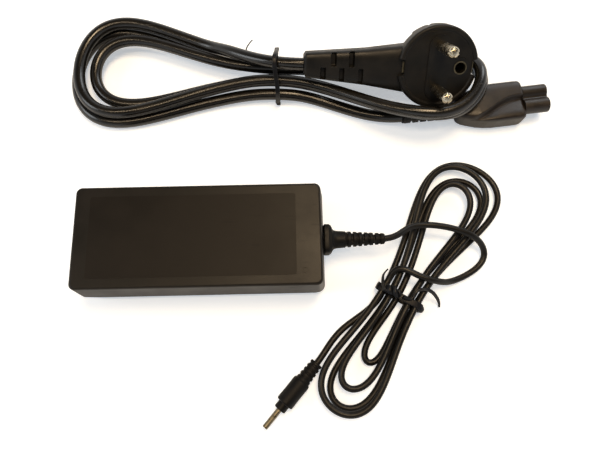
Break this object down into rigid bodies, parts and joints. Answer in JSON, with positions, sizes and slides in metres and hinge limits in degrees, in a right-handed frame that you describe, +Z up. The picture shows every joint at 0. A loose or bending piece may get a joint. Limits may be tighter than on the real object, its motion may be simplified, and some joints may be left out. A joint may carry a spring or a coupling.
{
  "type": "laptop power adapter",
  "caption": "Slim black laptop power adapter with a looped low-voltage lead ending in a barrel plug, and its detached mains lead with an angled earthed plug.",
  "frame": {"origin": "bottom centre of the housing, on the surface that it stands on", "axes": "+X along the housing towards the low-voltage lead, +Y across it towards the mains lead, +Z up"},
  "size_m": [0.2351, 0.1983, 0.0488],
  "materials": {
    "housing_abs": "fine satin moulded",
    "label_film": "smooth film",
    "inlet_plastic": "satin",
    "plated_brass": "nickel plated",
    "barrel_metal": "plated",
    "wire_sleeve": "smooth",
    "board_laminate": "satin",
    "insulation_card": "matt",
    "component_brown": "satin",
    "component_blue": "satin",
    "film_yellow": "satin",
    "ferrite": "matt",
    "enamelled_copper": "enamelled",
    "epoxy_black": "satin",
    "capacitor_sleeve": "shrink sleeve",
    "heatsink_aluminium": "plain",
    "opto_white": "satin",
    "dc_rubber": "soft satin",
    "dc_cord_pvc": "satin",
    "insulator": "satin",
    "tie_plastic": "satin",
    "plug_pvc": "satin moulded",
    "mains_cord_pvc": "glossy"
  },
  "bodies": {
    "adapter": {"top_shell": "housing_abs", "bottom_shell": "housing_abs", "rating_label": "label_film", "inlet_socket": "inlet_plastic", "inlet_pins": "plated_brass", "inlet_wires": "wire_sleeve", "circuit_board": "board_laminate", "insulation_sheet": "insulation_card", "fuse": "component_brown", "varistor": "component_blue", "x_capacitor": "film_yellow", "common_mode_choke": "ferrite", "choke_windings": "enamelled_copper", "bridge_rectifier": "epoxy_black", "bulk_capacitor": "capacitor_sleeve", "primary_heatsink": "heatsink_aluminium", "switching_transistor": "epoxy_black", "control_chip": "epoxy_black", "transformer_core": "ferrite", "transformer_winding": "film_yellow", "y_capacitor": "component_blue", "optocoupler": "opto_white", "secondary_heatsink": "heatsink_aluminium", "output_rectifier": "epoxy_black", "output_capacitors": "capacitor_sleeve", "output_wires": "wire_sleeve", "dc_strain_relief": "dc_rubber", "dc_cord_lead": "dc_cord_pvc", "dc_cord_hank": "dc_cord_pvc", "dc_cord_tail": "dc_cord_pvc", "dc_plug_grip": "dc_rubber", "dc_plug_barrel": "barrel_metal", "dc_plug_insulator": "insulator", "dc_tie": "tie_plastic"},
    "mains_lead": {"mains_plug_body": "plug_pvc", "mains_plug_carrier": "plug_pvc", "mains_plug_pins": "plated_brass", "mains_earth_clips": "plated_brass", "mains_earth_socket": "plated_brass", "mains_cord_plug_end": "mains_cord_pvc", "mains_cord_hank": "mains_cord_pvc", "mains_cord_connector_end": "mains_cord_pvc", "connector_relief": "plug_pvc", "connector_body": "plug_pvc", "connector_nose": "plug_pvc", "connector_contacts": "plated_brass", "mains_tie": "tie_plastic"}
  },
  "joints": [
    {"name": "mains_lead_lift", "type": "slide", "parent": "adapter", "child": "mains_lead", "axis": [0, 0, 1], "range_m": [0, 0.1]}
  ]
}
